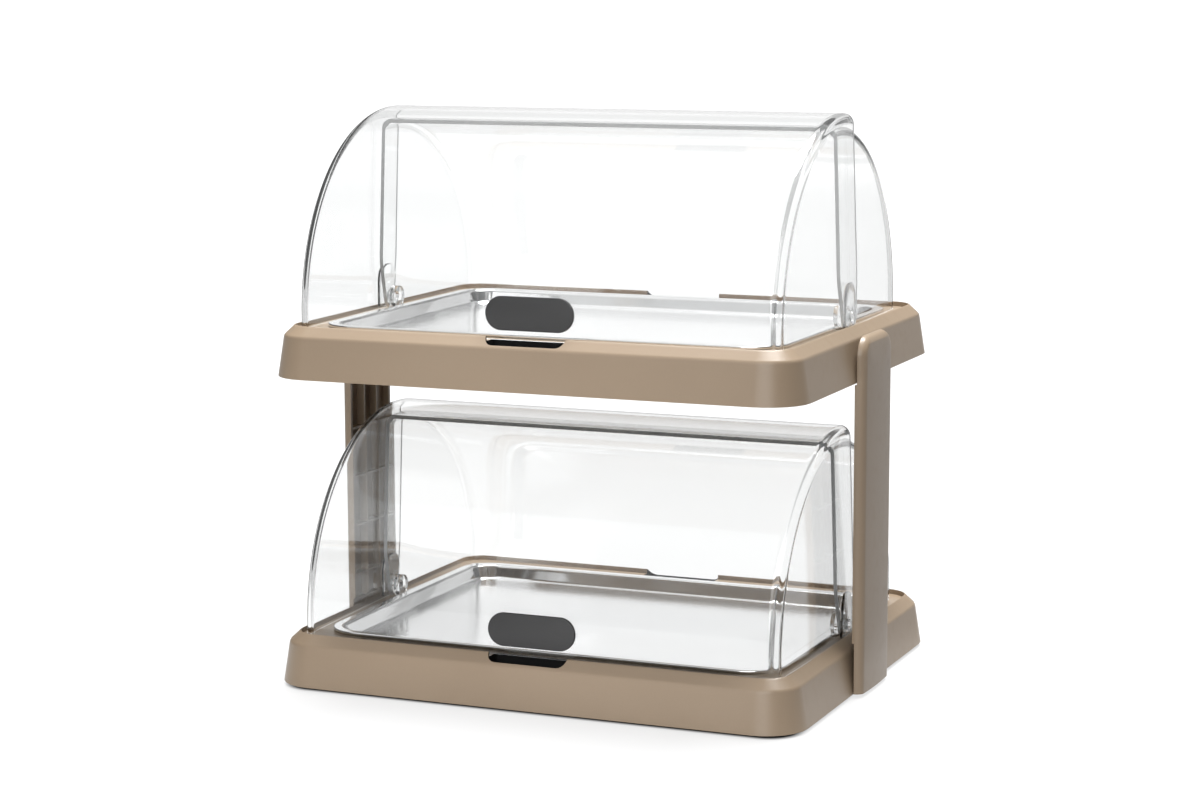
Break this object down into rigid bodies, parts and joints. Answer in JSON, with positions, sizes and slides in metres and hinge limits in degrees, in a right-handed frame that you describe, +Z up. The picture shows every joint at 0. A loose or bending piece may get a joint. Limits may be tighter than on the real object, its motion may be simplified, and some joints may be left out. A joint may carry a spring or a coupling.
{
  "type": "chilled roll-top display",
  "caption": "Counter-top chilled display on stacked moulded bases: clear nested roll-top hoods turn over lift-out steel trays laid on cooling packs.",
  "frame": {"origin": "centre of the footprint, on the surface the feet stand on", "axes": "+X to the right seen from the front, +Y to the rear, +Z up; the hoods turn about lines along X"},
  "size_m": [0.456, 0.36, 0.4543],
  "materials": {
    "taupe_plastic": "fine moulded texture",
    "clear_plastic": "clear and glossy",
    "polished_steel": "polished",
    "dark_plastic": "satin",
    "pack_plastic": "satin polyethylene",
    "zinc_steel": "zinc plated",
    "foot_rubber": "matt"
  },
  "bodies": {
    "stand": {"lower_base_housing": "taupe_plastic", "lower_bottom_plate": "taupe_plastic", "lower_left_cooling_pack": "pack_plastic", "lower_left_pivot_post": "clear_plastic", "lower_front_left_plate_screw": "zinc_steel", "lower_rear_left_plate_screw": "zinc_steel", "lower_left_low_column_screw": "zinc_steel", "lower_left_high_column_screw": "zinc_steel", "lower_right_cooling_pack": "pack_plastic", "lower_right_pivot_post": "clear_plastic", "lower_front_right_plate_screw": "zinc_steel", "lower_rear_right_plate_screw": "zinc_steel", "lower_right_low_column_screw": "zinc_steel", "lower_right_high_column_screw": "zinc_steel", "upper_base_housing": "taupe_plastic", "upper_bottom_plate": "taupe_plastic", "upper_left_cooling_pack": "pack_plastic", "upper_left_pivot_post": "clear_plastic", "upper_front_left_plate_screw": "zinc_steel", "upper_rear_left_plate_screw": "zinc_steel", "upper_left_low_column_screw": "zinc_steel", "upper_left_high_column_screw": "zinc_steel", "upper_right_cooling_pack": "pack_plastic", "upper_right_pivot_post": "clear_plastic", "upper_front_right_plate_screw": "zinc_steel", "upper_rear_right_plate_screw": "zinc_steel", "upper_right_low_column_screw": "zinc_steel", "upper_right_high_column_screw": "zinc_steel", "left_column": "taupe_plastic", "right_column": "taupe_plastic", "front_left_foot": "foot_rubber", "front_right_foot": "foot_rubber", "rear_left_foot": "foot_rubber", "rear_right_foot": "foot_rubber"},
    "lower_tray": {"lower_steel_tray": "polished_steel"},
    "lower_front_cover": {"lower_front_hood": "clear_plastic", "lower_grip_plate": "dark_plastic"},
    "lower_rear_cover": {"lower_rear_hood": "clear_plastic"},
    "upper_tray": {"upper_steel_tray": "polished_steel"},
    "upper_front_cover": {"upper_front_hood": "clear_plastic", "upper_grip_plate": "dark_plastic"},
    "upper_rear_cover": {"upper_rear_hood": "clear_plastic"}
  },
  "joints": [
    {"name": "lower_front_cover_turn", "type": "hinge", "parent": "stand", "child": "lower_front_cover", "pos_m": [0, 0, 0.05], "axis": [-1, 0, 0], "range_deg": [0, 75]},
    {"name": "lower_rear_cover_turn", "type": "hinge", "parent": "stand", "child": "lower_rear_cover", "pos_m": [0, 0, 0.05], "axis": [1, 0, 0], "range_deg": [0, 75]},
    {"name": "lower_tray_lift", "type": "slide", "parent": "stand", "child": "lower_tray", "axis": [0, 0, 1], "range_m": [0, 0.022]},
    {"name": "upper_front_cover_turn", "type": "hinge", "parent": "stand", "child": "upper_front_cover", "pos_m": [0, 0, 0.296], "axis": [-1, 0, 0], "range_deg": [0, 75]},
    {"name": "upper_rear_cover_turn", "type": "hinge", "parent": "stand", "child": "upper_rear_cover", "pos_m": [0, 0, 0.296], "axis": [1, 0, 0], "range_deg": [0, 75]},
    {"name": "upper_tray_lift", "type": "slide", "parent": "stand", "child": "upper_tray", "axis": [0, 0, 1], "range_m": [0, 0.022]}
  ]
}
